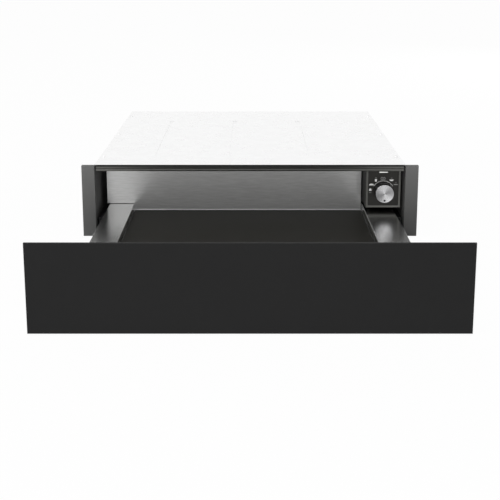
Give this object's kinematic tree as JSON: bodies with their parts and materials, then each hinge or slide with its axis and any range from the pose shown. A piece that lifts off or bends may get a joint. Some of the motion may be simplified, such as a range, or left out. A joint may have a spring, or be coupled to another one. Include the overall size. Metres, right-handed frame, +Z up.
{
  "type": "built-in warming drawer",
  "caption": "Built-in warming drawer: a low steel housing with a blower, heater and dial, and a shallow drawer on telescopic ball runners behind a plain black front panel.",
  "frame": {"origin": "underside of the base pan, on the centre line and on the plane of the cabinet's front, where the backs of the trims lie", "axes": "+X to the right seen from the front, +Y back into the cabinet and the way the drawer closes, +Z up; the drawer rests fully open"},
  "size_m": [0.597, 0.9525, 0.1306],
  "materials": {
    "panel_black": "matt black powder coat",
    "trim_grey": "satin dark grey coat",
    "rail_dark": "satin black coat",
    "case_steel": "galvanised sheet, fine spangle",
    "cover_steel": "bright galvanised sheet",
    "tray_steel": "stainless steel, grain from side to side",
    "runner_steel": "zinc plated",
    "runner_black": "black passivated zinc",
    "ball_steel": "polished balls in a plated cage",
    "mat_glass": "dark non-slip glass, satin",
    "rubber_black": "moulded rubber",
    "bezel_grey": "satin grey coat",
    "fascia_black": "fine-textured plastic with printed marks",
    "knob_metal": "spun face with a radial sheen",
    "knob_black": "smooth dark plastic",
    "shaft_steel": "turned steel",
    "lens_white": "clear-white light window",
    "switch_plastic": "moulded switch plastic",
    "board_green": "coated circuit board",
    "component_dark": "moulded component cases",
    "duct_steel": "aluminised sheet",
    "rotor_aluminium": "pressed aluminium",
    "bush_bronze": "sintered bronze",
    "motor_iron": "varnished laminations",
    "coil_copper": "enamelled copper winding with tape",
    "heater_rod": "heat-darkened steel sheath",
    "gland_plastic": "moulded nylon",
    "terminal_white": "moulded terminal plastic",
    "screw_zinc": "plated screw",
    "latch_plastic": "moulded latch case"
  },
  "bodies": {
    "housing": {"base_pan": "case_steel", "left_side_panel": "trim_grey", "right_side_panel": "trim_grey", "rear_panel": "case_steel", "top_cover": "cover_steel", "left_trim": "trim_grey", "right_trim": "trim_grey", "front_rail": "rail_dark", "slide_brackets": "runner_black", "left_slide_outer": "runner_black", "right_slide_outer": "runner_black", "slide_buffers": "rubber_black", "control_box": "rail_dark", "control_bezel": "bezel_grey", "control_fascia": "fascia_black", "pilot_lens": "lens_white", "pilot_lamp": "component_dark", "rotary_switch": "switch_plastic", "control_board": "board_green", "board_components": "component_dark", "blower_scroll": "duct_steel", "blower_ends": "duct_steel", "rotor_bushes": "bush_bronze", "motor_core": "motor_iron", "motor_coil": "coil_copper", "heating_element": "heater_rod", "heater_clips": "duct_steel", "thermal_cutout": "component_dark", "latch_body": "latch_plastic", "door_switch": "switch_plastic", "cable_gland": "gland_plastic", "terminal_block": "terminal_white", "cover_screws": "screw_zinc", "rear_screws": "screw_zinc"},
    "drawer": {"front_panel": "panel_black", "panel_backplate": "case_steel", "panel_bumpers": "rubber_black", "panel_carrier": "case_steel", "drawer_tray": "tray_steel", "drawer_back": "tray_steel", "floor_mat": "mat_glass", "runner_brackets": "case_steel", "left_slide_inner": "runner_steel", "right_slide_inner": "runner_steel", "latch_striker": "case_steel", "carrier_screws": "screw_zinc"},
    "left_runner": {"left_slide_middle": "runner_steel"},
    "right_runner": {"right_slide_middle": "runner_steel"},
    "left_rear_balls": {"left_outer_cage": "ball_steel"},
    "right_rear_balls": {"right_outer_cage": "ball_steel"},
    "left_front_balls": {"left_inner_cage": "ball_steel"},
    "right_front_balls": {"right_inner_cage": "ball_steel"},
    "knob": {"knob_cap": "knob_metal", "knob_body": "knob_black", "knob_shaft": "shaft_steel"},
    "rotor": {"fan_rotor": "rotor_aluminium", "blower_shaft": "shaft_steel"},
    "plunger": {"latch_plunger": "latch_plastic"},
    "button": {"switch_button": "switch_plastic"}
  },
  "joints": [
    {"name": "drawer_slide", "type": "slide", "parent": "housing", "child": "drawer", "axis": [0, 1, 0], "range_m": [0, 0.408]},
    {"name": "left_runner_slide", "type": "slide", "parent": "housing", "child": "left_runner", "axis": [0, 1, 0], "range_m": [0, 0.204]},
    {"name": "right_runner_slide", "type": "slide", "parent": "housing", "child": "right_runner", "axis": [0, 1, 0], "range_m": [0, 0.204]},
    {"name": "left_rear_ball_run", "type": "slide", "parent": "housing", "child": "left_rear_balls", "axis": [0, 1, 0], "range_m": [0, 0.102]},
    {"name": "right_rear_ball_run", "type": "slide", "parent": "housing", "child": "right_rear_balls", "axis": [0, 1, 0], "range_m": [0, 0.102]},
    {"name": "left_front_ball_run", "type": "slide", "parent": "housing", "child": "left_front_balls", "axis": [0, 1, 0], "range_m": [0, 0.306]},
    {"name": "right_front_ball_run", "type": "slide", "parent": "housing", "child": "right_front_balls", "axis": [0, 1, 0], "range_m": [0, 0.306]},
    {"name": "knob_turn", "type": "hinge", "parent": "housing", "child": "knob", "pos_m": [0.2397, 0, 0.0775], "axis": [0, 1, 0], "range_deg": [0, 240]},
    {"name": "fan_spin", "type": "hinge", "parent": "housing", "child": "rotor", "pos_m": [-0.03, 0.5, 0.048], "axis": [1, 0, 0], "continuous": true},
    {"name": "latch_press", "type": "slide", "parent": "housing", "child": "plunger", "axis": [0, 1, 0], "range_m": [0, 0.004], "stiffness_N_per_m": 500, "springref_m": -0.004},
    {"name": "switch_press", "type": "slide", "parent": "housing", "child": "button", "axis": [0, 1, 0], "range_m": [0, 0.0015], "stiffness_N_per_m": 300, "springref_m": -0.002}
  ],
  "couplings": [
    {"joint": "left_runner_slide", "follows": "drawer_slide", "ratio": 0.5},
    {"joint": "right_runner_slide", "follows": "drawer_slide", "ratio": 0.5},
    {"joint": "left_rear_ball_run", "follows": "drawer_slide", "ratio": 0.25},
    {"joint": "right_rear_ball_run", "follows": "drawer_slide", "ratio": 0.25},
    {"joint": "left_front_ball_run", "follows": "drawer_slide", "ratio": 0.75},
    {"joint": "right_front_ball_run", "follows": "drawer_slide", "ratio": 0.75}
  ]
}
